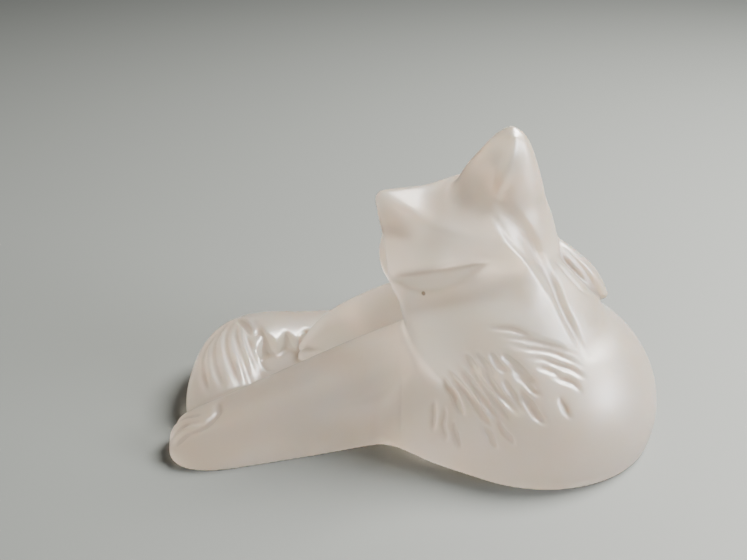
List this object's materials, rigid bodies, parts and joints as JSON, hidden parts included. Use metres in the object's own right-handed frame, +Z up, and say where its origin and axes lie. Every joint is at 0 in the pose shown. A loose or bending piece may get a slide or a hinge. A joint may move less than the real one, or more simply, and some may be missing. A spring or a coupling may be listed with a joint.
{
  "type": "figurine",
  "caption": "Reclining fox figurine in frosted crystal glass, curled in a C with its head turned back, on a flat ground base.",
  "frame": {"origin": "centre of the footprint's bounding box, on the ground base", "axes": "+Z up; +X from the paws and tail towards the rounded back, which is the longest side; +Y from the back of the head towards the face"},
  "size_m": [0.1023, 0.0652, 0.0648],
  "materials": {
    "frosted_crystal": "satin-frosted lead crystal, milky and faintly warm, polished on the ears and the fur ridges"
  },
  "bodies": {
    "root": {"crystal_fox": "frosted_crystal"}
  },
  "joints": []
}
